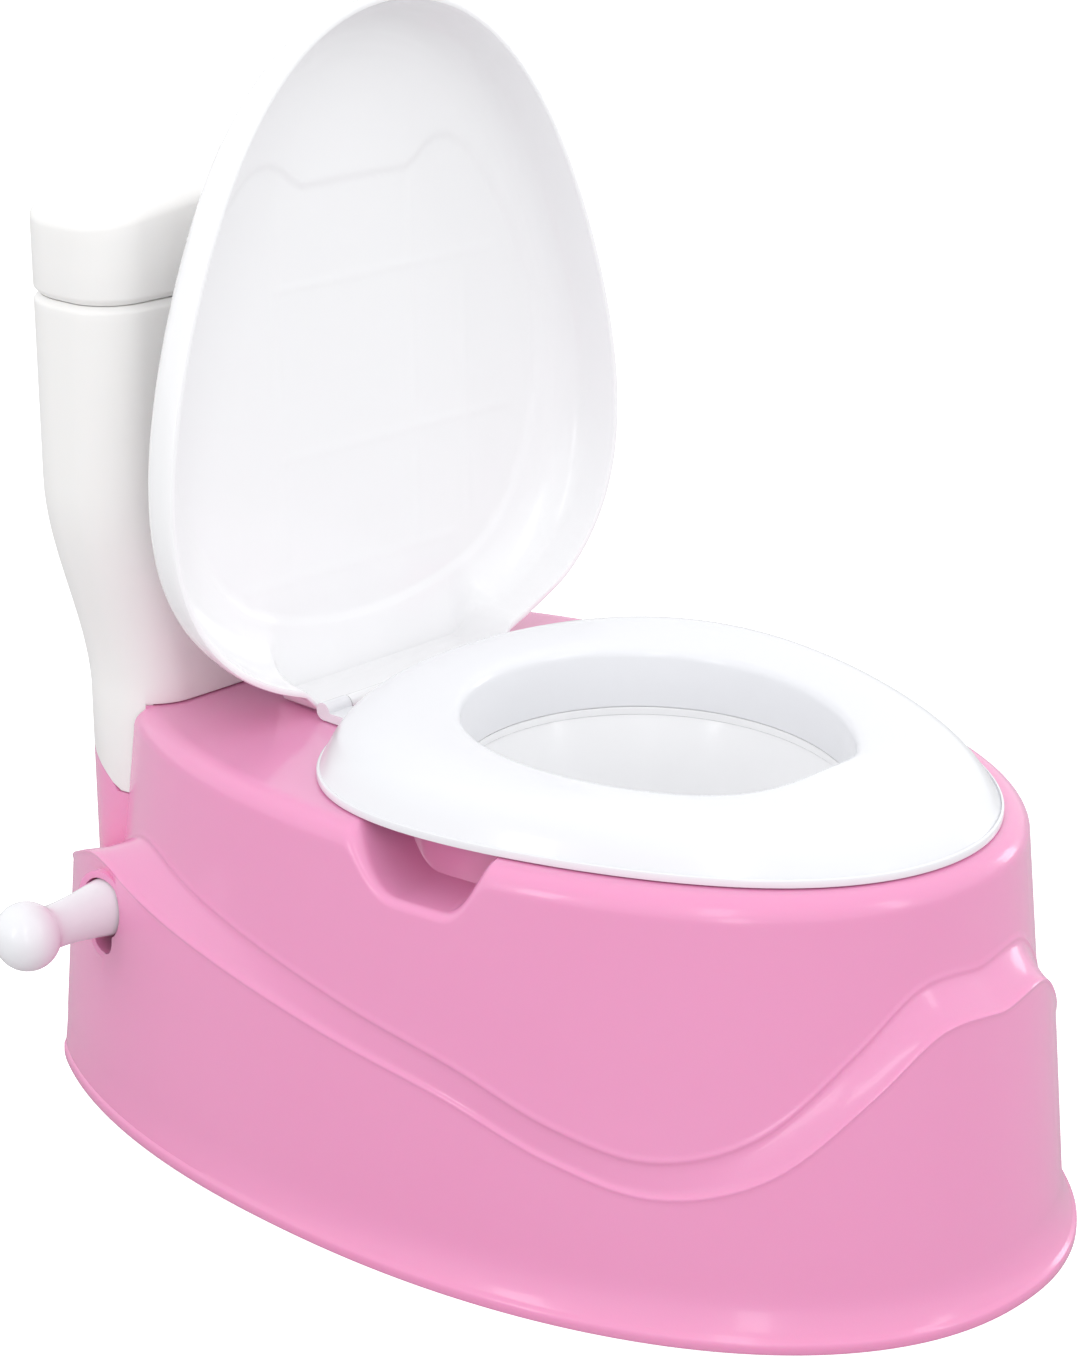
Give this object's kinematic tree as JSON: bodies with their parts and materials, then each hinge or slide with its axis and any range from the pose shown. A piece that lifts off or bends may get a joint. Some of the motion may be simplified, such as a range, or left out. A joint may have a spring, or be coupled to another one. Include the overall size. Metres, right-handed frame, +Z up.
{
  "type": "potty training chair",
  "caption": "Child's toilet-shaped potty chair: hollow base, lift-out seat and pot, folding lid, cistern with lift-off cover and a paper-roll peg on one side.",
  "frame": {"origin": "middle of the object's footprint box, on the floor", "axes": "+Z up, -Y towards the front of the seat, X across the chair, with the peg on -X"},
  "size_m": [0.3048, 0.406, 0.423],
  "materials": {
    "pink_plastic": "gloss pink moulded plastic",
    "white_plastic": "gloss white moulded plastic",
    "cream_plastic": "satin off-white moulded plastic",
    "pin_steel": "bright drawn wire"
  },
  "bodies": {
    "base": {"base_shell": "pink_plastic", "cistern_body": "cream_plastic"},
    "cistern_cover": {"cistern_lid": "cream_plastic"},
    "seat": {"seat_ring": "white_plastic", "pot_bowl": "white_plastic", "hinge_pin": "pin_steel"},
    "seat_lid": {"lid": "white_plastic"},
    "peg": {"paper_holder": "white_plastic"}
  },
  "joints": [
    {"name": "seat_lift", "type": "slide", "parent": "base", "child": "seat", "axis": [0, 0, 1], "range_m": [0, 0.33]},
    {"name": "lid_hinge", "type": "hinge", "parent": "seat", "child": "seat_lid", "pos_m": [0.01285, 0.089, 0.161], "axis": [1, 0, 0], "range_deg": [0, 91]},
    {"name": "cistern_cover_lift", "type": "slide", "parent": "base", "child": "cistern_cover", "axis": [0, 0, 1], "range_m": [0, 0.12]},
    {"name": "peg_turn", "type": "hinge", "parent": "base", "child": "peg", "pos_m": [-0.10135, 0.147, 0.0835], "axis": [1, 0, 0], "range_deg": [0, 90]}
  ]
}
